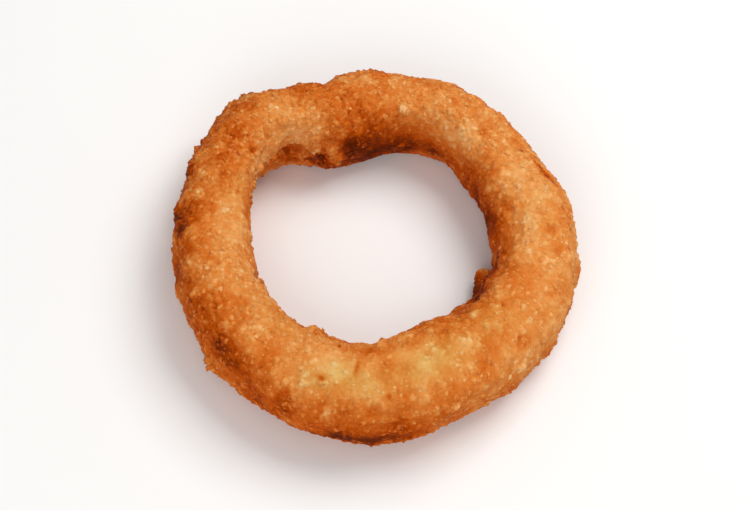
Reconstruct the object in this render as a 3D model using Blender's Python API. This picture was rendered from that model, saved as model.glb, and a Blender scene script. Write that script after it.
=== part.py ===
"""A breaded, fried onion ring, lying flat. Metres, +Z up, origin under the middle of its box.

One closed solid: a tall, slightly square-shouldered tube bent into an uneven ring. The crust is
thicker on one side, swells and dips along the way, carries a few nubs and one crisp fin of batter
in the hole, and is flat where the ring rests.
"""

import math

import bmesh
import bpy
from mathutils import Vector, noise

MM = 0.001

# Driving sizes of the ring.
OUTER_RADIUS = 36.4 * MM  # middle of the hole to the outside of the crust
CRUST_WIDTH = 14.2 * MM  # across the tube, seen from above
RING_HEIGHT = 16.6 * MM
SHOULDER = 2.45  # 2 is an ellipse, and more is squarer shoulders
RESTING_FLAT = 0.7 * MM  # depth of crust that is flat underneath

# How each size swells round the ring: (waves in one turn, swell, degrees where it is fullest).
RADIUS_SWELLS = (
    (3, 0.5 * MM, 26),
    (4, 0.3 * MM, -15),
    (5, 0.3 * MM, 5),
    (6, 0.3 * MM, 22),
)
WIDTH_SWELLS = (
    (1, 2.4 * MM, -64),
    (2, 0.9 * MM, -48),
    (3, 0.6 * MM, -20),
    (4, 0.6 * MM, 22),
    (5, 0.7 * MM, 40),
)
HEIGHT_SWELLS = (
    (2, 0.6 * MM, -60),
    (5, 0.3 * MM, 80),
)

# Local lumps (positive) and dents (negative) of the crust: degrees round the ring from +X, degrees
# round the tube (0 outside, 90 on top, 180 in the hole, 270 below), height, reach along, reach round.
LUMPS = (
    (4, 204, 2.9, 3.7, 2.4),  # foot of the fin of batter in the hole
    (10, 206, 3.0, 1.3, 2.0),  # its crisp end
    (-27, 205, 1.0, 6.0, 2.6),  # ledge that runs on from the fin
    (24, 195, 0.7, 4.0, 4.5),
    (122, 190, 1.7, 2.2, 2.4),  # tuft in the hole
    (136, 168, -1.3, 2.2, 2.2),  # hollow beside the tuft
    (116, 25, -2.4, 1.7, 4.5),  # notch in the outer shoulder
    (100, 35, 0.7, 4.0, 3.5),  # lobe beside the notch
    (142, 10, 0.7, 4.0, 4.0),
    (6, -10, 1.7, 1.8, 2.4),  # nub outside
    (-20, -15, 0.5, 3.5, 3.0),
    (-52, -30, -0.7, 4.0, 4.0),  # flatter stretch of the outside
    (-78, -35, 0.6, 4.0, 3.0),
    (-133, -30, 1.3, 1.7, 2.0),  # nub outside
    (-104, 95, 0.5, 6.0, 3.0),
    (-67, 150, 0.6, 4.5, 3.0),
    (-158, 60, 0.4, 5.0, 4.0),
    (52, 80, -0.5, 6.0, 3.5),
    (28, 50, 0.6, 4.5, 3.5),
)

# Waves of the crust over the whole ring: (wavelength, swell).
CRUST_WAVES = (
    (9.0 * MM, 0.75 * MM),
    (4.2 * MM, 0.40 * MM),
)

# Faces of the solid.
STEPS_AROUND = 124
STEPS_ACROSS = 30


def swell(turn, terms):
    """What the terms add at this angle round the ring."""
    return sum(size * math.cos(waves * (turn - math.radians(full))) for waves, size, full in terms)


def signed_power(value, power):
    return math.copysign(abs(value) ** power, value)


def tube_point(turn, side):
    """A point of the plain tube, at an angle round the ring and an angle round the tube."""
    half_width = (CRUST_WIDTH + swell(turn, WIDTH_SWELLS)) / 2
    half_height = (RING_HEIGHT + swell(turn, HEIGHT_SWELLS)) / 2
    middle = OUTER_RADIUS + swell(turn, RADIUS_SWELLS) - half_width
    out = half_width * signed_power(math.cos(side), 2 / SHOULDER)
    up = half_height * signed_power(math.sin(side), 2 / SHOULDER)
    radius = middle + out
    return Vector((radius * math.cos(turn), radius * math.sin(turn), up))


def tube_normal(turn, side):
    """The tube's outward direction there."""
    half_width = CRUST_WIDTH / 2
    half_height = RING_HEIGHT / 2
    out = signed_power(math.cos(side), 2 - 2 / SHOULDER) / half_width
    up = signed_power(math.sin(side), 2 - 2 / SHOULDER) / half_height
    return Vector((out * math.cos(turn), out * math.sin(turn), up)).normalized()


def angle_between(a, b):
    """The turn from b to a, from minus to plus half a turn."""
    return (a - b + math.pi) % math.tau - math.pi


def lump_height(turn, side):
    """How far the lumps push the crust out there."""
    middle = OUTER_RADIUS - CRUST_WIDTH / 2
    girth = (CRUST_WIDTH + RING_HEIGHT) / 4
    height = 0.0
    for lump_turn, lump_side, size, reach_along, reach_round in LUMPS:
        along = middle * angle_between(turn, math.radians(lump_turn)) / (reach_along * MM)
        across = girth * angle_between(side, math.radians(lump_side)) / (reach_round * MM)
        height += size * MM * math.exp(-along * along - across * across)
    return height


def wave_height(point):
    """How far the crust's waves push it out at this point."""
    return sum(size * noise.noise(point / length) for length, size in CRUST_WAVES)


def crust_point(turn, side):
    point = tube_point(turn, side)
    height = lump_height(turn, side) + wave_height(point)
    return point + tube_normal(turn, side) * height


def crust_rings():
    """The crust's points, one closed ring of them for each step round the onion ring."""
    rings = []
    for i in range(STEPS_AROUND):
        turn = math.tau * i / STEPS_AROUND
        rings.append([crust_point(turn, math.tau * j / STEPS_ACROSS) for j in range(STEPS_ACROSS)])
    return rings


def settle(rings):
    """Flattens the underside and moves the ring to stand on z = 0 with the middle of its box over the origin."""
    points = [p for ring in rings for p in ring]
    table = min(p.z for p in points) + RESTING_FLAT
    middle_x = (min(p.x for p in points) + max(p.x for p in points)) / 2
    middle_y = (min(p.y for p in points) + max(p.y for p in points)) / 2
    for p in points:
        p.x -= middle_x
        p.y -= middle_y
        p.z = max(p.z - table, 0.0)


def ring_mesh(name):
    rings = crust_rings()
    settle(rings)
    bm = bmesh.new()
    verts = [[bm.verts.new(p) for p in ring] for ring in rings]
    for i, ring in enumerate(verts):
        following = verts[(i + 1) % STEPS_AROUND]
        for j in range(STEPS_ACROSS):
            k = (j + 1) % STEPS_ACROSS
            bm.faces.new((ring[j], following[j], following[k], ring[k]))
    bmesh.ops.triangulate(bm, faces=bm.faces, quad_method="SHORT_EDGE")
    bmesh.ops.recalc_face_normals(bm, faces=bm.faces)
    mesh = bpy.data.meshes.new(name)
    bm.to_mesh(mesh)
    bm.free()
    mesh.shade_smooth()
    return mesh


def fried_crumb():
    """Deep-fried crumb coating: golden brown and rough, with a little oil on it."""
    material = bpy.data.materials.new("fried_crumb")
    material.use_nodes = True
    shader = material.node_tree.nodes["Principled BSDF"]
    shader.inputs["Base Color"].default_value = (0.58, 0.22, 0.05, 1.0)
    shader.inputs["Roughness"].default_value = 0.6
    shader.inputs["Metallic"].default_value = 0.0
    material.diffuse_color = (0.58, 0.22, 0.05, 1.0)
    return material


def main():
    for obj in list(bpy.data.objects):
        bpy.data.objects.remove(obj)
    mesh = ring_mesh("onion_ring")
    mesh.materials.append(fried_crumb())
    ring = bpy.data.objects.new("onion_ring", mesh)
    bpy.context.scene.collection.objects.link(ring)


main()
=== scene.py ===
# A breaded and deep-fried onion ring: its crust, its crumbs and its browning, with painted shade and highlights in
# places, dressed over the solid.
# Metres, +Z up. Angles round the ring are in degrees from +X, and angles round the tube are 0 on the
# outside, 90 on top, 180 in the hole and 270 below.

import math

import bmesh
import bpy
import numpy as np
from mathutils import Matrix, Vector, bvhtree, kdtree, noise


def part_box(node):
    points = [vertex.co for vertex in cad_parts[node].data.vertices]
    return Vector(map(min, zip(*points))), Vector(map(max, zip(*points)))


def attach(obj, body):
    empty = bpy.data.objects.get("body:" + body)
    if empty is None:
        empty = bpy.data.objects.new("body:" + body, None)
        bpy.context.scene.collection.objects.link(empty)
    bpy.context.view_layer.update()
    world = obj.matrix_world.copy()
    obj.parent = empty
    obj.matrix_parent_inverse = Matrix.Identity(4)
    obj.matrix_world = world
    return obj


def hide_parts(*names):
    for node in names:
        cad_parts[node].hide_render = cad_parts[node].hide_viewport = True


mm = 0.001

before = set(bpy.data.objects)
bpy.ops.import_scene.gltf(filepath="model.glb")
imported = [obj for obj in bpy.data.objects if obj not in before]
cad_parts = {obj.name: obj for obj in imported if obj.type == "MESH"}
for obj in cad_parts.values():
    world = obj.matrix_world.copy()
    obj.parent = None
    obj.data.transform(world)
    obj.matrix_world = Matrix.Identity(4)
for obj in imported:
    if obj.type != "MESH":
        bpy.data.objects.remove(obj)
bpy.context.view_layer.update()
ringLow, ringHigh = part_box("onion_ring")
ringHeight = ringHigh[2] - ringLow[2]
ringAcross = ringHigh[0] - ringLow[0]
tubeRadius = 0.395 * ringAcross  # from the middle of the hole to the middle of the tube
tubeGirth = 7.6 * mm  # from the middle of the tube to its crust, on average


def linear(hexColour):  # sRGB hex to the linear colour that the shaders take
    parts = [int(hexColour[i : i + 2], 16) / 255 for i in (1, 3, 5)]
    return tuple(c / 12.92 if c <= 0.04045 else ((c + 0.055) / 1.055) ** 2.4 for c in parts) + (1.0,)


def addNode(tree, kind, settings=None, links=None):
    node = tree.nodes.new(kind)
    for name, value in (settings or {}).items():
        if isinstance(name, int) or name in node.inputs:
            node.inputs[name].default_value = value
        else:
            setattr(node, name, value)
    for name, source in (links or {}).items():
        tree.links.new(source, node.inputs[name])
    return node


def meshFrom(name, points, faces, material):
    mesh = bpy.data.meshes.new(name)
    mesh.from_pydata(points.tolist(), [], faces.tolist())
    mesh.materials.append(material)
    mesh.shade_smooth()
    return mesh


def paint(mesh, name, values):
    layer = mesh.attributes.get(name) or mesh.attributes.new(name, "FLOAT", "POINT")
    layer.data.foreach_set("value", np.asarray(values, np.float32))


# a sunken grain's skin runs into the crust's, so its shading leans that way too
def leanNormals(mesh, towards, share):
    normals = (1 - share) * normalsOf(mesh) + share * towards
    normals /= np.linalg.norm(normals, axis=1)[:, None]
    mesh.normals_split_custom_set_from_vertices(normals.tolist())


def addPiece(name, mesh):
    piece = bpy.data.objects.new(name, mesh)
    bpy.context.scene.collection.objects.link(piece)
    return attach(piece, "root")


def readPaint(mesh, name):
    values = np.empty(len(mesh.vertices), np.float32)
    mesh.attributes[name].data.foreach_get("value", values)
    return values.astype(np.float64)


def pointsOf(mesh):
    points = np.empty(len(mesh.vertices) * 3, np.float32)
    mesh.vertices.foreach_get("co", points)
    return points.reshape(-1, 3).astype(np.float64)


def normalsOf(mesh):
    normals = np.empty(len(mesh.vertices) * 3, np.float32)
    mesh.vertex_normals.foreach_get("vector", normals)
    return normals.reshape(-1, 3).astype(np.float64)


def wrapped(angles):
    return (angles + 180) % 360 - 180


# what soft patches add at each point: (degrees round the ring, degrees round the tube, reach along,
# reach round, strength)
def patchSum(points, patches):
    turn = np.degrees(np.arctan2(points[:, 1], points[:, 0]))
    out = np.hypot(points[:, 0], points[:, 1]) - tubeRadius
    side = np.degrees(np.arctan2(points[:, 2] - ringHeight / 2, out))
    total = np.zeros(len(points))
    for patchTurn, patchSide, along, across, strength in patches:
        a = np.radians(wrapped(turn - patchTurn)) * tubeRadius / along
        b = np.radians(wrapped(side - patchSide)) * tubeGirth / across
        total += strength * np.exp(-a * a - b * b)
    return total


def waves(points, length, seed):  # smooth noise of that wavelength, from about -1 to 1
    shift = Vector((seed * 7.13, seed * 3.71, seed * 5.37))
    return np.array([noise.noise(Vector(p) / length + shift) for p in points.tolist()])


def grainBody(detail):  # a ball one unit wide, as arrays: 8 faces at detail 0, then 20 and 80
    if detail == 0:
        points = np.vstack((np.eye(3), -np.eye(3))) / 2
        corners = [(x, y + 1, z + 2) for x in (0, 3) for y in (0, 3) for z in (0, 3)]
        faces = [c if sum(v > 2 for v in c) % 2 == 0 else c[::-1] for c in corners]
        return points, np.array(faces)
    bm = bmesh.new()
    bmesh.ops.create_icosphere(bm, subdivisions=detail, radius=0.5)
    points = np.array([v.co[:] for v in bm.verts])
    faces = np.array([[v.index for v in f.verts] for f in bm.faces])
    bm.free()
    return points, faces


def randomTurns(rng, count):  # that many random rotation matrices
    q = rng.normal(size=(count, 4))
    q /= np.linalg.norm(q, axis=1)[:, None]
    w, x, y, z = q.T
    rows = [
        [1 - 2 * (y * y + z * z), 2 * (x * y - z * w), 2 * (x * z + y * w)],
        [2 * (x * y + z * w), 1 - 2 * (x * x + z * z), 2 * (y * z - x * w)],
        [2 * (x * z - y * w), 2 * (y * z + x * w), 1 - 2 * (x * x + y * y)],
    ]
    return np.array(rows).transpose(2, 0, 1)


# uneven grains sunk into a surface, as one joined mesh. It also gives the points that they sit on
def grains(look, surface, normals, chance, material):
    rng = np.random.default_rng(look["seed"])
    count = look["count"] // 1
    body, bodyFaces = grainBody(look["detail"])
    seats = rng.choice(len(surface), count, replace=False, p=chance / chance.sum())
    low, high = look["width"]
    width = low + (high - low) * rng.random(count) ** 2.2  # more small ones than large
    shape = body[None] * (1 + np.clip(rng.normal(0, look["ragged"], (count, len(body), 1)), -0.6, 0.7))
    stretch = rng.uniform(0.6, 1.3, (count, 1, 3))
    shape = np.einsum("nij,nkj->nki", randomTurns(rng, count), shape * stretch)
    normal = normals[seats]
    along = np.einsum("nki,ni->nk", shape, normal)
    shape -= (1 - look["thickness"]) * along[..., None] * normal[:, None]
    centre = surface[seats] + normal * (width * look["proud"])[:, None]
    points = centre[:, None] + shape * width[:, None, None]
    points[..., 2] = np.maximum(points[..., 2], 0)
    faces = bodyFaces[None] + (np.arange(count) * len(body))[:, None, None]
    mesh = meshFrom(look["name"], points.reshape(-1, 3), faces.reshape(-1, 3), material)
    return mesh, seats, len(body), rng


crustLook = {
    "voxel": 0.225 * mm,  # spacing of the fine mesh before it is thinned
    "facetPasses": 16,  # smoothing passes that melt the solid's facets
    "batterPasses": 3,  # that melt the fin into the ring
    "fusePasses": 1,  # and those that melt the crumbs into the batter
    "mostFaces": 196000,
    "lumps": 0.22 * mm,
    "lumpLength": 3.4 * mm,
    "drips": 0.42 * mm,  # batter that ran down the outer wall and set
    "dripLength": 3.0 * mm,
    "hollows": (  # (degrees round the ring, degrees round the tube, reach along, reach round, height)
        (136, 167, 2.4 * mm, 2.8 * mm, -1.5 * mm),
        (129, 204, 0.9 * mm, 0.9 * mm, -0.9 * mm),
        (125, 184, 1.5 * mm, 1.9 * mm, -1.6 * mm),
        (-118, 142, 0.9 * mm, 1.4 * mm, -0.5 * mm),
        (-106, 144, 0.8 * mm, 1.2 * mm, -0.4 * mm),
        (-150, 150, 1.2 * mm, 1.8 * mm, -0.5 * mm),
        (-2, 152, 3.0 * mm, 3.2 * mm, -1.1 * mm),
        (-20, 158, 4.6 * mm, 3.4 * mm, -2.1 * mm),
        (-36, 152, 3.4 * mm, 2.6 * mm, -0.9 * mm),
        (19, 192, 2.6 * mm, 3.4 * mm, 0.8 * mm),
    ),
    "setBack": {  # beside the fin the hole's wall stands back: degrees round the ring, then sizes
        "turn": 8.5,
        "reach": 8.5,
        "radius": 22.2 * mm,
        "height": 13 * mm,
    },
    "bareFoot": 5 * mm,  # below this the crust was pressed smooth and holds fewer crumbs
    "roughPatches": (  # where crumbs lie thicker, and where the batter is smoother
        (140, 80, 16 * mm, 9 * mm, 1.0),
        (155, 30, 14 * mm, 5 * mm, 0.9),
        (127, 170, 9 * mm, 8 * mm, 1.2),
        (-150, 130, 10 * mm, 5 * mm, 0.8),
        (-112, 140, 12 * mm, 4 * mm, 0.8),
        (60, 60, 14 * mm, 6 * mm, 0.7),
        (40, 95, 10 * mm, 6 * mm, 0.4),
        (-75, 92, 18 * mm, 4.5 * mm, -0.75),
        (-15, 90, 14 * mm, 6 * mm, -0.2),
        (98, 185, 14 * mm, 7 * mm, -0.8),
        (-85, 5, 34 * mm, 6 * mm, -0.55),
        (95, 85, 18 * mm, 7 * mm, 0.5),
        (28, 172, 14 * mm, 6 * mm, -0.6),
    ),
}

fusedCrumbs = {  # crumbs that the batter has run over: part of the crust's own mesh
    "name": "fusedCrumbs",
    "count": 15000,
    "detail": 1,
    "width": (0.5 * mm, 1.3 * mm),
    "ragged": 0.22,  # how far its corners stray from a ball
    "thickness": 0.5,  # against its width
    "proud": 0.06,  # how far its middle stands over the batter, in widths
    "paleShare": 0.10,  # of them took up oil and hardly browned
    "seed": 5,
}

tufts = {  # crumbs heaped on each other on the ragged stretches of the hole's wall
    "name": "tufts",
    "count": 320,
    "detail": 1,
    "width": (0.8 * mm, 1.8 * mm),
    "ragged": 0.22,
    "thickness": 0.8,
    "proud": 0.2,
    "seed": 7,
    "places": (
        (128, 164, 0.9 * mm, 1.2 * mm, 1.1),
        (122, 172, 1.3 * mm, 1.6 * mm, 1.1),
        (118, 188, 1.2 * mm, 1.6 * mm, 1.1),
        (133, 196, 0.6 * mm, 0.9 * mm, 1.4),
        (129, 148, 1.5 * mm, 2.0 * mm, 0.8),
        (142, 172, 1.8 * mm, 2.0 * mm, 0.7),
        (158, 160, 4.0 * mm, 2.4 * mm, 0.5),
        (173, 150, 3.0 * mm, 1.4 * mm, 0.4),
        (143, 30, 4.0 * mm, 1.6 * mm, 0.4),
        (163, 32, 5.0 * mm, 1.6 * mm, 0.4),
        (-145, 148, 2.0 * mm, 1.2 * mm, 0.8),
        (-112, 146, 1.4 * mm, 1.0 * mm, 0.8),
        (-81, 142, 1.4 * mm, 1.2 * mm, 0.6),
        (-133, -22, 1.4 * mm, 1.4 * mm, 0.5),
        (90, 108, 0.5 * mm, 0.5 * mm, 0.9),
        (103, 72, 0.5 * mm, 0.5 * mm, 0.9),
        (-105, 61, 0.5 * mm, 0.5 * mm, 0.9),
        (-96, 32, 0.3 * mm, 0.7 * mm, 0.6),
        (-59, 37, 0.5 * mm, 0.5 * mm, 0.9),
        (-34, 30, 0.5 * mm, 0.5 * mm, 0.9),
    ),
}

finLook = {  # the crisp flap of batter that stands in the hole: (x, y, height of its top) in millimetres
    "flap": (
        (24.0, 1.0, 5.4), (22.3, 1.2, 5.0), (20.7, 2.9, 4.6), (20.2, 3.4, 4.5), (19.3, 3.3, 4.2), (18.4, 2.9, 4.0),
        (18.7, 0.4, 4.1), (18.8, -2.4, 4.1), (18.5, -4.5, 4.0), (19.5, -6.5, 4.3), (24.0, -7.0, 5.4),
    ),
    "flapLow": 1.6 * mm,
    "root": (  # the slope of batter by which it hangs on the ring
        (25.0, 0.8, 10.0), (22.4, 0.3, 6.4), (20.9, -0.8, 5.0), (19.7, -3.0, 4.8), (19.3, -5.4, 4.8),
        (20.6, -8.0, 6.4), (25.0, -8.0, 11.0),
    ),
    "rootLow": 2.2 * mm,
}


def slab(outline, low):  # a closed block over that outline, from that height up to its top
    bm = bmesh.new()
    top = [bm.verts.new((x * mm, y * mm, height * mm)) for x, y, height in outline]
    foot = [bm.verts.new((x * mm, y * mm, low)) for x, y, height in outline]
    bm.faces.new(top)
    bm.faces.new(foot[::-1])
    for i in range(len(outline)):
        bm.faces.new((foot[i - 1], foot[i], top[i], top[i - 1]))
    bmesh.ops.recalc_face_normals(bm, faces=bm.faces)
    mesh = bpy.data.meshes.new("slab")
    bm.to_mesh(mesh)
    bm.free()
    return mesh


def joined(name, meshes):
    bm = bmesh.new()
    for mesh in meshes:
        bm.from_mesh(mesh)
    result = bpy.data.meshes.new(name)
    bm.to_mesh(result)
    bm.free()
    return result


def modified(mesh, modifiers):  # a new mesh with the modifiers applied: (kind, settings) each
    holder = bpy.data.objects.new("modified", mesh)
    bpy.context.scene.collection.objects.link(holder)
    for kind, settings in modifiers:
        modifier = holder.modifiers.new(kind, kind)
        for name, value in settings.items():
            setattr(modifier, name, value)
    evaluated = holder.evaluated_get(bpy.context.evaluated_depsgraph_get())
    result = bpy.data.meshes.new_from_object(evaluated)
    bpy.data.objects.remove(holder)
    return result


def crumbCover(points):  # how thick the crumbs lie: 1 on average, and few near the table
    cover = np.clip(1 + patchSum(points, crustLook["roughPatches"]), 0.12, 2.2)
    return cover * np.clip(points[:, 2] / crustLook["bareFoot"], 0.2, 1)


def evenMesh(mesh, passes):  # closes the mesh into one even skin, then smooths it
    voxel = crustLook["voxel"] * 1
    return modified(
        mesh,
        (
            ("WELD", {"merge_threshold": 0.001 * mm}),
            ("REMESH", {"mode": "VOXEL", "voxel_size": voxel}),
            ("SMOOTH", {"factor": 0.5, "iterations": passes}),
        ),
    )


def moved(mesh, points):
    points[:, 2] = np.maximum(points[:, 2], 0)
    mesh.vertices.foreach_set("co", points.astype(np.float32).ravel())
    mesh.update()


def dripping(points):  # from -1 between the drips down the outer wall to 1 along them
    return waves(points * (1, 1, 0.3), crustLook["dripLength"], 9)


def hollowed(batter):
    points = pointsOf(batter)
    points += normalsOf(batter) * patchSum(points, crustLook["hollows"])[:, None]
    back = crustLook["setBack"]
    turn = np.degrees(np.arctan2(points[:, 1], points[:, 0]))
    share = np.clip(2 - 2 * abs(turn - back["turn"]) / back["reach"], 0, 1)
    share *= np.clip(2 - 2 * points[:, 2] / back["height"], 0, 1)
    radius = np.hypot(points[:, 0], points[:, 1])
    points[:, :2] *= (1 + share * np.clip(back["radius"] / radius - 1, 0, None))[:, None]
    moved(batter, points)


def uneven(batter):  # lumps, and drips down the outer wall
    points, normals = pointsOf(batter), normalsOf(batter)
    outward = (normals[:, 0] * points[:, 0] + normals[:, 1] * points[:, 1]) / tubeRadius
    height = crustLook["lumps"] * waves(points, crustLook["lumpLength"], 1)
    bare = np.clip(points[:, 2] / crustLook["bareFoot"], 0.3, 1)
    height += crustLook["drips"] * dripping(points) * np.clip(outward, 0, 1) * bare
    moved(batter, points + normals * height[:, None])


# two values for each point of the skin: "relief" is how high it stands over the batter, from 0 in a pit to
# 1 on a tip, and "ownBrown" is how much browner than its neighbours the crumb at that point is
def paintCrumbs(skin, batter, seats, rng):
    skinPoints, batterPoints = pointsOf(skin), pointsOf(batter)
    surface = bvhtree.BVHTree.FromPolygons(batterPoints.tolist(), [list(p.vertices) for p in batter.polygons])
    crumbs = kdtree.KDTree(len(seats))
    for i, seat in enumerate(batterPoints[seats].tolist()):
        crumbs.insert(seat, i)
    crumbs.balance()
    brown = np.clip(rng.normal(0, 0.4, len(seats)), -1, 1)
    brown[rng.random(len(seats)) < fusedCrumbs["paleShare"]] = -1.8
    rise, own = np.empty(len(skinPoints)), np.empty(len(skinPoints))
    for i, p in enumerate(skinPoints.tolist()):
        place, normal, _, _ = surface.find_nearest(p)
        rise[i] = (Vector(p) - place).dot(normal)
        own[i] = brown[crumbs.find(place)[1]]
    paint(skin, "relief", np.clip(0.5 + rise / (0.7 * mm), 0, 1))
    paint(skin, "ownBrown", own * np.clip(rise / (0.12 * mm), 0, 1))


def crustMesh(node, material):
    smooth = evenMesh(node.data.copy(), crustLook["facetPasses"])
    hollowed(smooth)
    flap = slab(finLook["flap"], finLook["flapLow"])
    root = slab(finLook["root"], finLook["rootLow"])
    batter = evenMesh(joined("batter", (smooth, flap, root)), crustLook["batterPasses"])
    uneven(batter)
    points, normals = pointsOf(batter), normalsOf(batter)
    rough = crumbCover(points)
    crumbs, seats, _, rng = grains(fusedCrumbs, points, normals, rough, material)
    heaps = grains(tufts, points, normals, patchSum(points, tufts["places"]) ** 2, material)[0]
    skin = evenMesh(joined("skin", (batter, crumbs, heaps)), crustLook["fusePasses"])
    paintCrumbs(skin, batter, seats, rng)
    moved(skin, pointsOf(skin))
    faces = sum(len(p.vertices) - 2 for p in skin.polygons)
    if faces > crustLook["mostFaces"]:
        skin = modified(skin, (("DECIMATE", {"ratio": crustLook["mostFaces"] / faces}),))
    skin.materials.clear()
    skin.materials.append(material)
    skin.shade_smooth()
    return skin


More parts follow.
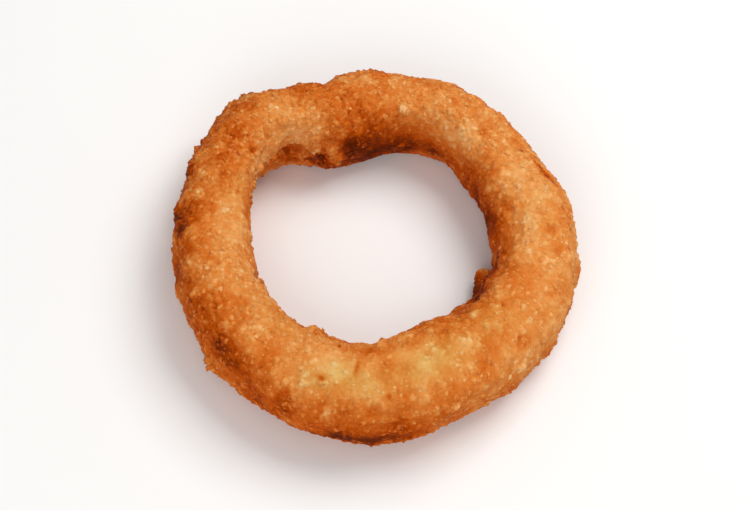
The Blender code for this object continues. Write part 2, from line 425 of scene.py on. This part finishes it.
browningAndShadeLook = {
    "plain": 0.47,
    "walls": 0.25,  # how much browner the upright walls are than the crest: partly their own browning, partly painted shade
    "foot": 0.38,  # and towards the table over the lowest few millimetres: painted shade along the foot
    "footHeight": 4 * mm,
    "patches": (  # (degrees round the ring, degrees round the tube, reach along, reach round, browner)
        (-104, 88, 3.4 * mm, 2.2 * mm, -0.15),  # pale golden patches on the crest
        (-96, 94, 3.0 * mm, 2.4 * mm, -0.24),
        (-87, 77, 4.4 * mm, 2.6 * mm, -0.17),
        (-79, 97, 2.4 * mm, 2.4 * mm, 0.06),
        (-103, 69, 3.0 * mm, 2.0 * mm, -0.14),
        (-66, 98, 5.0 * mm, 2.4 * mm, -0.20),
        (-56, 109, 4.0 * mm, 2.6 * mm, -0.12),
        (-48, 103, 2.6 * mm, 2.0 * mm, -0.18),
        (64, 111, 3.0 * mm, 2.4 * mm, -0.12),
        (98, 108, 4.0 * mm, 2.4 * mm, -0.08),
        (168, 105, 4.0 * mm, 2.6 * mm, -0.10),
        (12, 100, 6.0 * mm, 2.6 * mm, -0.08),
        (30, 95, 6.0 * mm, 2.6 * mm, -0.06),
        (-100.5, 75, 0.8 * mm, 0.7 * mm, 0.42),  # small burnt crumbs
        (-90, 98, 0.45 * mm, 1.2 * mm, 0.38),
        (-79, 67, 0.5 * mm, 0.5 * mm, 0.28),
        (-86, 124, 1.6 * mm, 0.9 * mm, 0.26),
        (12, 82, 1.0 * mm, 0.9 * mm, 0.20),
        (58, 90, 1.2 * mm, 1.0 * mm, 0.28),
        (153, 95, 1.2 * mm, 0.9 * mm, 0.26),
        (145, 47, 1.2 * mm, 1.0 * mm, 0.24),
        (-171, 42, 1.2 * mm, 1.0 * mm, 0.24),
        (-31, 10, 0.9 * mm, 0.8 * mm, 0.22),
        (-30, 74, 1.2 * mm, 1.0 * mm, 0.14),
        (38, 60, 2.4 * mm, 0.5 * mm, 0.24),
        (31, 57, 2.6 * mm, 0.5 * mm, 0.24),
        (90, 108, 0.8 * mm, 0.7 * mm, -0.42),  # single pale crumbs
        (39, 109, 0.8 * mm, 0.6 * mm, -0.20),
        (103, 72, 0.8 * mm, 0.7 * mm, -0.28),
        (159, 64, 0.8 * mm, 0.7 * mm, -0.22),
        (171, 59, 0.9 * mm, 0.8 * mm, -0.28),
        (177, 60, 0.8 * mm, 0.7 * mm, -0.22),
        (-50, 84, 0.8 * mm, 0.7 * mm, -0.16),
        (-158, 54, 0.8 * mm, 0.8 * mm, -0.22),
        (-105, 61, 1.0 * mm, 0.8 * mm, -0.26),
        (-96, 32, 0.6 * mm, 1.2 * mm, -0.26),
        (-63, 119, 1.0 * mm, 0.6 * mm, -0.18),
        (-59, 37, 0.9 * mm, 0.8 * mm, -0.34),
        (-34, 30, 0.9 * mm, 0.8 * mm, -0.26),
        (-35, 133, 0.9 * mm, 0.6 * mm, -0.32),
        (40, 141, 0.9 * mm, 0.7 * mm, -0.20),
        (-132, 31, 3.0 * mm, 2.2 * mm, 0.20),  # browner stretches
        (-138, 25, 6.0 * mm, 3.0 * mm, 0.04),
        (-94, -16, 14.0 * mm, 2.2 * mm, 0.07),
        (-176, 25, 3.0 * mm, 2.2 * mm, 0.16),
        (175, 10, 16.0 * mm, 4.0 * mm, 0.10),
        (150, 40, 8.0 * mm, 4.0 * mm, 0.08),
        # browner in the hollows of the ragged stretch of the hole's wall: partly browning, partly painted shade
        (136, 176, 2.6 * mm, 3.0 * mm, 0.14),
        (130, 207, 4.4 * mm, 1.6 * mm, 0.24),
        (126, 184, 1.3 * mm, 1.8 * mm, 0.20),
        (129, 202, 0.8 * mm, 1.2 * mm, 0.20),
        (129, 150, 1.4 * mm, 2.2 * mm, -0.10),
        (128, 166, 0.7 * mm, 0.7 * mm, -0.34),
        (122, 172, 1.0 * mm, 1.2 * mm, -0.22),
        (118, 188, 1.4 * mm, 1.8 * mm, -0.24),
        (133, 196, 0.7 * mm, 0.9 * mm, -0.50),
        (114, 165, 2.2 * mm, 2.4 * mm, 0.12),
        (50, 97, 11.0 * mm, 3.0 * mm, 0.06),
        (75, 52, 7.0 * mm, 3.0 * mm, 0.05),
        (102, 116, 5.0 * mm, 2.6 * mm, 0.05),
        (-12, 87, 8.0 * mm, 2.6 * mm, 0.05),
        (-99, 83, 6.0 * mm, 3.0 * mm, 0.03),
        (-146, 65, 10.0 * mm, 3.0 * mm, 0.04),
        (-66, 48, 3.0 * mm, 3.0 * mm, 0.06),
        (-40, 76, 3.0 * mm, 2.4 * mm, 0.05),
        (168, 50, 5.0 * mm, 3.0 * mm, 0.05),
        (130, 68, 6.0 * mm, 3.0 * mm, 0.05),
        (-120, 90, 3.0 * mm, 3.0 * mm, -0.07),
        (-52, 28, 4.0 * mm, 4.0 * mm, -0.06),
        (-165, 10, 6.0 * mm, 3.0 * mm, -0.06),
        (-120, 5, 3.0 * mm, 3.0 * mm, -0.06),
        (40, 55, 6.0 * mm, 2.6 * mm, -0.06),
        (82, 95, 5.0 * mm, 5.0 * mm, -0.05),
        (40, 156, 3.0 * mm, 3.0 * mm, -0.08),
        (155, 101, 3.0 * mm, 3.0 * mm, -0.07),
        (172, 120, 6.0 * mm, 3.0 * mm, -0.06),
        (-124, 47, 3.0 * mm, 2.4 * mm, 0.04),
        (-38, 38, 5.0 * mm, 4.0 * mm, -0.08),
        (-96, -26, 8.0 * mm, 1.6 * mm, 0.16),
        (-92, 34, 3.0 * mm, 2.4 * mm, -0.12),
        (-108, 29, 3.0 * mm, 2.4 * mm, -0.05),
        (138, 101, 5.0 * mm, 4.0 * mm, -0.05),
        (66, 121, 5.0 * mm, 4.0 * mm, -0.03),
        # the lower wall of the hole, on the far side and towards +X, made browner: painted shade down in the hole
        (80, 218, 22.0 * mm, 4.4 * mm, 0.26),
        (98, 188, 7.0 * mm, 6.0 * mm, 0.16),
        (32, 195, 8.0 * mm, 5.5 * mm, 0.20),
        # on the fin: a paler rim along its top edge, painted highlight, and a browner face below it, painted shade
        (9, 206, 1.6 * mm, 1.4 * mm, -0.20),
        (-6, 207, 3.2 * mm, 4.0 * mm, 0.30),
        (15, 80, 14.0 * mm, 7.0 * mm, -0.06),
        (-5, 10, 26.0 * mm, 5.0 * mm, -0.20),
        (119, 84, 6.0 * mm, 6.0 * mm, 0.22),
        (98, 128, 6.0 * mm, 4.0 * mm, 0.05),
        (133, 137, 7.0 * mm, 6.0 * mm, -0.16),
        (-115, 118, 9.0 * mm, 2.4 * mm, -0.08),
        (-134, 5, 4.0 * mm, 3.0 * mm, 0.08),
        (-100, 16, 12.0 * mm, 3.4 * mm, 0.06),
        (-82, -15, 5.0 * mm, 2.3 * mm, 0.26),
        (-103, -12, 3.0 * mm, 2.0 * mm, -0.15),
        (125, 85, 10.0 * mm, 4.0 * mm, 0.06),
        (-10, 122, 36.0 * mm, 3.0 * mm, -0.05),
        (-150, 25, 8.0 * mm, 4.0 * mm, -0.06),
        (-62, 51, 5.0 * mm, 3.0 * mm, -0.06),
        (-48, 60, 4.0 * mm, 3.0 * mm, 0.07),
        (177, 88, 5.0 * mm, 4.0 * mm, 0.07),
        (152, 88, 4.0 * mm, 4.0 * mm, 0.08),
        (63, 113, 4.0 * mm, 2.4 * mm, -0.06),
        (-30, 30, 10.0 * mm, 7.0 * mm, -0.10),
        (155, 52, 10.0 * mm, 5.0 * mm, -0.05),
        (92, 84, 12.0 * mm, 5.0 * mm, 0.03),
        (157, 92, 6.0 * mm, 4.0 * mm, 0.06),
        (95, 112, 6.0 * mm, 3.0 * mm, 0.08),
        (-160, 135, 12.0 * mm, 5.0 * mm, -0.14),
        (-45, 65, 10.0 * mm, 6.0 * mm, 0.03),
        (-18, 85, 10.0 * mm, 5.0 * mm, 0.02),
        (-145, 60, 18.0 * mm, 5.0 * mm, 0.08),
        (162, 88, 7.0 * mm, 5.0 * mm, 0.18),
        (-165, 45, 6.0 * mm, 3.0 * mm, 0.10),
        (-30, 92, 9.0 * mm, 2.4 * mm, 0.06),
        (113, 170, 2.6 * mm, 3.0 * mm, 0.14),
        (-78, 22, 26.0 * mm, 5.0 * mm, 0.07),
        (68, 150, 20.0 * mm, 6.0 * mm, 0.05),
        (66, 110, 7.0 * mm, 3.0 * mm, -0.05),
        (156, 180, 4.0 * mm, 7.0 * mm, -0.26),
        (50, 150, 5.0 * mm, 3.0 * mm, 0.08),
        (5, 165, 3.0 * mm, 3.0 * mm, 0.14),
        (110, 168, 4.0 * mm, 4.0 * mm, 0.06),
        (66, 165, 5.0 * mm, 7.0 * mm, -0.12),
        (-20, 172, 8.0 * mm, 2.4 * mm, 0.16),
    ),
    "golden": (  # where the batter barely browned and stayed yellow
        (-103, 70, 3.6 * mm, 2.2 * mm, 0.7),
        (-96, 92, 3.0 * mm, 2.4 * mm, 0.8),
        (-86, 79, 4.4 * mm, 2.8 * mm, 0.8),
        (-67, 98, 6.0 * mm, 3.2 * mm, 0.8),
        (-55, 109, 5.0 * mm, 3.0 * mm, 0.6),
        (-33, 115, 6.0 * mm, 3.5 * mm, 0.5),
        (20, 100, 8.0 * mm, 3.0 * mm, 0.1),
        (-125, 110, 6.0 * mm, 3.0 * mm, 0.3),
        (172, 110, 5.0 * mm, 3.0 * mm, 0.3),
    ),
    "crumbs": 0.10,  # how much one crumb differs from the next
    "calm": (  # where the browning is more even
        (-82, 5, 34.0 * mm, 6.0 * mm, 0.65),
        (70, 155, 26.0 * mm, 7.0 * mm, 0.5),
    ),
    "blotches": 0.16,
    "blotchLength": 6.0 * mm,
    "dripHighlight": 0.13,  # how much paler the raised drips down the outer wall are painted: painted highlight along them
    "mottle": 0.14,
    "mottleLength": 2.4 * mm,
}


def browningAndShade(mesh):  # from 0, barely set batter, to 1, burnt; the upright walls, the foot, the lower wall of the hole and some hollows also carry painted shade, and the drips painted highlights
    look = browningAndShadeLook
    points = pointsOf(mesh)
    out = np.hypot(points[:, 0], points[:, 1]) - tubeRadius
    up = points[:, 2] - ringHeight / 2
    wall = out**2 / (out**2 + up**2)
    foot = np.clip(1 - points[:, 2] / look["footHeight"], 0, 1) ** 1.5
    # browner on the upright walls and towards the table: partly browning, partly painted shade
    value = look["plain"] + look["walls"] * wall + look["foot"] * foot
    value += patchSum(points, look["patches"])
    value += look["crumbs"] * readPaint(mesh, "ownBrown")
    # paler along the raised drips: painted highlight
    value -= look["dripHighlight"] * dripping(points) * np.clip(out / tubeGirth, 0, 1)
    noises = look["blotches"] * waves(points, look["blotchLength"], 4)
    noises += look["mottle"] * waves(points, look["mottleLength"], 5)
    value += noises * (1 - patchSum(points, look["calm"]))
    return np.clip(value, 0.18, 1)


def yellowness(points):
    return np.clip(patchSum(points, browningAndShadeLook["golden"]), 0, 1)


looseCrumbs = (
    {  # fine crumb all over
        "name": "fine_crumbs",
        "count": 9500,
        "detail": 1,
        "width": (0.3 * mm, 0.6 * mm),
        "ragged": 0.25,
        "thickness": 0.28,
        "proud": 0.02,
        "tone": (-0.08, 0.05),  # paler to browner than the crust under it
        "seed": 11,
    },
    {  # single breadcrumbs
        "name": "breadcrumbs",
        "count": 4500,
        "detail": 1,
        "width": (0.45 * mm, 0.95 * mm),
        "ragged": 0.28,
        "thickness": 0.3,
        "proud": 0.0,
        "tone": (-0.08, 0.05),
        "seed": 17,
    },
    {  # pale crumbs that took up oil and hardly browned, also standing in for glints of oil: partly pale crumb, partly painted highlight
        "name": "pale_crumbs_and_painted_glints",
        "count": 2400,
        "detail": 1,
        "width": (0.4 * mm, 0.9 * mm),
        "ragged": 0.28,
        "thickness": 0.3,
        "proud": 0.0,
        "tone": (-0.18, -0.05),
        "places": ((-85, 15, 34 * mm, 7 * mm, 1.2),),
        "seed": 29,
    },
    {  # scraps of batter
        "name": "batter_scraps",
        "count": 200,
        "detail": 2,
        "width": (0.7 * mm, 1.2 * mm),
        "ragged": 0.2,
        "thickness": 0.26,
        "proud": 0.0,
        "tone": (-0.04, 0.12),
        "seed": 23,
    },
)


def scatter(look, surface, normals, crustToneAndShade, crustYellow, material):
    cover = crumbCover(surface) + patchSum(surface, look.get("places", ()))
    mesh, seats, corners, rng = grains(look, surface, normals, cover, material)
    paler, browner = look["tone"]
    tone = crustToneAndShade[seats] + rng.uniform(paler, browner, len(seats))
    paint(mesh, "browningAndShade", np.repeat(np.clip(tone, 0.12, 1), corners))
    paint(mesh, "yellow", np.repeat(0.6 * crustYellow[seats], corners))
    # the relief set here makes the shader paint them paler, as tips: painted highlight
    paint(mesh, "relief", np.repeat(rng.uniform(0.5, 0.9, len(seats)), corners))
    leanNormals(mesh, np.repeat(normals[seats], corners, axis=0), 0.5)
    return addPiece(look["name"], mesh)


crumbColours = (  # how the crust goes from barely set batter to burnt
    (0.00, "#f0c48e"),
    (0.20, "#e8a966"),
    (0.40, "#dc8b43"),
    (0.58, "#cd6c24"),
    (0.74, "#b54b04"),
    (0.88, "#842f01"),
    (1.00, "#521b01"),
)

goldenTint = "#eefff0"  # laid over them where the batter stayed yellow

# Breadcrumb coating, deep-fried: the batter that holds it lets a little light through, which softens
# its pits and warms its edges, and it is dull
fusedFinish = {
    "name": "friedBreadcrumb",
    "specular": 0.02,
    "roughness": (0.45, 0.75),
    "subsurface": 0.25,
    "coat": 0.0,
    "bump": 0.09 * mm,
    "cellTone": 0.02,
    # painted highlights on the tips of the finest grain, painted shade between them
    "grainShadeAndHighlight": 0.05,
}

# The same crumb lying loose on the crust: hard, opaque grains with a film of frying oil, which glints
looseFinish = {
    "name": "oiledBreadcrumb",
    "specular": 0.06,
    "roughness": (0.35, 0.6),
    "subsurface": 0.12,
    "coat": 0.04,
    "bump": 0.07 * mm,
    "cellTone": 0.02,
    # painted highlights on the tips of the finest grain, painted shade between them
    "grainShadeAndHighlight": 0.07,
}

oilIor = 1.47  # frying oil over cooked starch


def friedCrumb(finish):
    material = bpy.data.materials.new(finish["name"])
    material.use_nodes = True
    tree = material.node_tree
    tree.nodes.clear()
    place = addNode(tree, "ShaderNodeTexCoord").outputs["Object"]
    # the browning, with the painted shade and highlights that were added to it
    brown = addNode(tree, "ShaderNodeAttribute", {"attribute_name": "browningAndShade"}).outputs["Fac"]
    relief = addNode(tree, "ShaderNodeAttribute", {"attribute_name": "relief"}).outputs["Fac"]
    grain = addNode(
        tree, "ShaderNodeTexNoise", {"Scale": 1 / (0.9 * mm), "Detail": 3.0, "Roughness": 0.6}, {"Vector": place}
    ).outputs["Fac"]
    # each crumb took its own brown: cells as wide as a crumb, bent so that they don't look cut
    bend = addNode(
        tree, "ShaderNodeTexNoise", {"Scale": 1 / (0.7 * mm), "Detail": 1.0}, {"Vector": place}
    ).outputs["Color"]
    bent = addNode(
        tree, "ShaderNodeVectorMath", {"operation": "MULTIPLY_ADD", 1: (0.5 * mm,) * 3}, {0: bend, 2: place}
    ).outputs["Vector"]
    cells = addNode(tree, "ShaderNodeTexVoronoi", {"Scale": 1 / (0.75 * mm)}, {"Vector": bent}).outputs
    cellTone = addNode(
        tree, "ShaderNodeMapRange",
        {"To Min": -finish["cellTone"], "To Max": finish["cellTone"]}, {"Value": cells["Color"]},
    ).outputs["Result"]
    # pits painted browner and tips paler: painted shade in the pits, painted highlights on the tips
    reliefShadeAndHighlight = addNode(
        tree, "ShaderNodeMapRange", {"To Min": 0.10, "To Max": -0.10}, {"Value": relief}
    ).outputs["Result"]
    # the finest grain: its tips stand up in the bump and are painted paler, its lows browner: painted highlights
    # and painted shade
    fine = addNode(
        tree, "ShaderNodeTexNoise", {"Scale": 1 / (0.6 * mm), "Detail": 2.0, "Roughness": 0.5}, {"Vector": place}
    ).outputs["Fac"]
    grainShadeAndHighlight = addNode(
        tree, "ShaderNodeMapRange",
        {"From Min": 0.3, "From Max": 0.7, "To Min": finish["grainShadeAndHighlight"], "To Max": -finish["grainShadeAndHighlight"]},
        {"Value": fine},
    ).outputs["Result"]
    sumA = addNode(tree, "ShaderNodeMath", {"operation": "ADD"}, {0: brown, 1: cellTone}).outputs[0]
    sumB = addNode(tree, "ShaderNodeMath", {"operation": "ADD"}, {0: sumA, 1: grainShadeAndHighlight}).outputs[0]
    tone = addNode(tree, "ShaderNodeMath", {"operation": "ADD"}, {0: sumB, 1: reliefShadeAndHighlight}).outputs[0]
    ramp = addNode(tree, "ShaderNodeValToRGB", None, {"Fac": tone})
    stops = ramp.color_ramp.elements
    while len(stops) < len(crumbColours):
        stops.new(0.5)
    for stop, (place01, colour) in zip(stops, crumbColours):
        stop.position = place01
        stop.color = linear(colour)
    yellow = addNode(tree, "ShaderNodeAttribute", {"attribute_name": "yellow"}).outputs["Fac"]
    colour = addNode(
        tree, "ShaderNodeMix", {"data_type": "RGBA", "blend_type": "MULTIPLY", 7: linear(goldenTint)},
        {0: yellow, 6: ramp.outputs["Color"]},
    ).outputs[2]
    smoother, rougher = finish["roughness"]
    rough = addNode(
        tree, "ShaderNodeMapRange", {"From Min": 0.3, "From Max": 0.7, "To Min": smoother, "To Max": rougher},
        {"Value": grain},
    ).outputs["Result"]
    mound = addNode(
        tree, "ShaderNodeMapRange", {"From Max": 0.7, "To Min": 1.0, "To Max": 0.0}, {"Value": cells["Distance"]}
    ).outputs["Result"]
    height = addNode(
        tree, "ShaderNodeMath", {"operation": "MULTIPLY_ADD", 1: 1.0}, {0: fine, 2: mound}
    ).outputs[0]
    bump = addNode(
        tree, "ShaderNodeBump", {"Strength": 0.5, "Distance": finish["bump"]}, {"Height": height}
    ).outputs["Normal"]
    shader = addNode(
        tree, "ShaderNodeBsdfPrincipled",
        {
            "IOR": oilIor,
            "Specular IOR Level": finish["specular"],
            "Subsurface Weight": finish["subsurface"],
            "Subsurface Radius": (1.0, 0.6, 0.35),
            "Subsurface Scale": 0.45 * mm,
            "Coat Weight": finish["coat"],
            "Coat Roughness": 0.25,
        },
        {"Base Color": colour, "Roughness": rough, "Normal": bump},
    )
    addNode(tree, "ShaderNodeOutputMaterial", None, {"Surface": shader.outputs["BSDF"]})
    return material


fusedMaterial = friedCrumb(fusedFinish)
looseMaterial = friedCrumb(looseFinish)
ringMesh = crustMesh(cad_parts["onion_ring"], fusedMaterial)
crustPoints, crustNormals = pointsOf(ringMesh), normalsOf(ringMesh)
crustToneAndShade = browningAndShade(ringMesh)
crustYellow = yellowness(crustPoints)
paint(ringMesh, "browningAndShade", crustToneAndShade)
paint(ringMesh, "yellow", crustYellow)
crust = addPiece("crust", ringMesh)
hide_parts("onion_ring")
print("crust:", len(ringMesh.polygons), "faces")
for look in looseCrumbs:
    crumbs = scatter(look, crustPoints, crustNormals, crustToneAndShade, crustYellow, looseMaterial)
    print(look["name"] + ":", len(crumbs.data.polygons), "faces")


studioLook = {
    "floor": "#f4f3f1",
    "worldStrength": 0.42,
    "keyEnergy": 1.55,
    "keyPlace": (0.15, 0.20, 0.42),
    "keySize": 0.30,
    "fillEnergy": 0.98,
    "fillPlace": (-0.06, -0.40, 0.30),
    "fillSize": 0.35,
}

cameraLook = {
    "elevation": 60,
    "roll": 10,  # degrees that the ring's axis leans clockwise in the picture
    "distance": 0.44,
    "lens": 116,
    "aim": (0.0, 0.0, 8 * mm),
}


def softbox(name, place, size, energy):
    light = bpy.data.lights.new(name, "AREA")
    light.size = size
    light.energy = energy
    box = bpy.data.objects.new(name, light)
    box.location = place
    box.rotation_euler = (Vector((0, 0, ringHeight / 2)) - Vector(place)).to_track_quat("-Z", "Y").to_euler()
    bpy.context.scene.collection.objects.link(box)


def paperFloor():  # matt white paper: no shine, and it lifts the shadows a little
    material = bpy.data.materials.new("mattWhitePaper")
    material.use_nodes = True
    shader = material.node_tree.nodes["Principled BSDF"]
    shader.inputs["Base Color"].default_value = linear(studioLook["floor"])
    shader.inputs["Roughness"].default_value = 0.9
    side = 1.5
    corners = np.array([[-side, -side, 0], [side, -side, 0], [side, side, 0], [-side, side, 0]])
    floor = bpy.data.objects.new("floor", meshFrom("floor", corners, np.array([[0, 1, 2, 3]]), material))
    bpy.context.scene.collection.objects.link(floor)


def addCamera():
    up, roll = math.radians(cameraLook["elevation"]), math.radians(cameraLook["roll"])
    back = Vector((0, -math.cos(up), math.sin(up)))
    level = Vector((1, 0, 0))
    over = back.cross(level)
    right = math.cos(roll) * level + math.sin(roll) * over
    top = math.cos(roll) * over - math.sin(roll) * level
    camera = bpy.data.objects.new("camera", bpy.data.cameras.new("camera"))
    camera.data.lens = cameraLook["lens"]
    camera.matrix_world = Matrix((right, top, back)).transposed().to_4x4()
    camera.location = Vector(cameraLook["aim"]) + back * cameraLook["distance"]
    bpy.context.scene.collection.objects.link(camera)
    bpy.context.scene.camera = camera


paperFloor()
softbox("key", studioLook["keyPlace"], studioLook["keySize"], studioLook["keyEnergy"])
softbox("fill", studioLook["fillPlace"], studioLook["fillSize"], studioLook["fillEnergy"])
world = bpy.data.worlds.new("studio")
world.use_nodes = True
world.node_tree.nodes["Background"].inputs["Color"].default_value = (1, 1, 1, 1)
world.node_tree.nodes["Background"].inputs["Strength"].default_value = studioLook["worldStrength"]
bpy.context.scene.world = world
bpy.context.scene.view_settings.view_transform = "Standard"
addCamera()
print("studio ready")
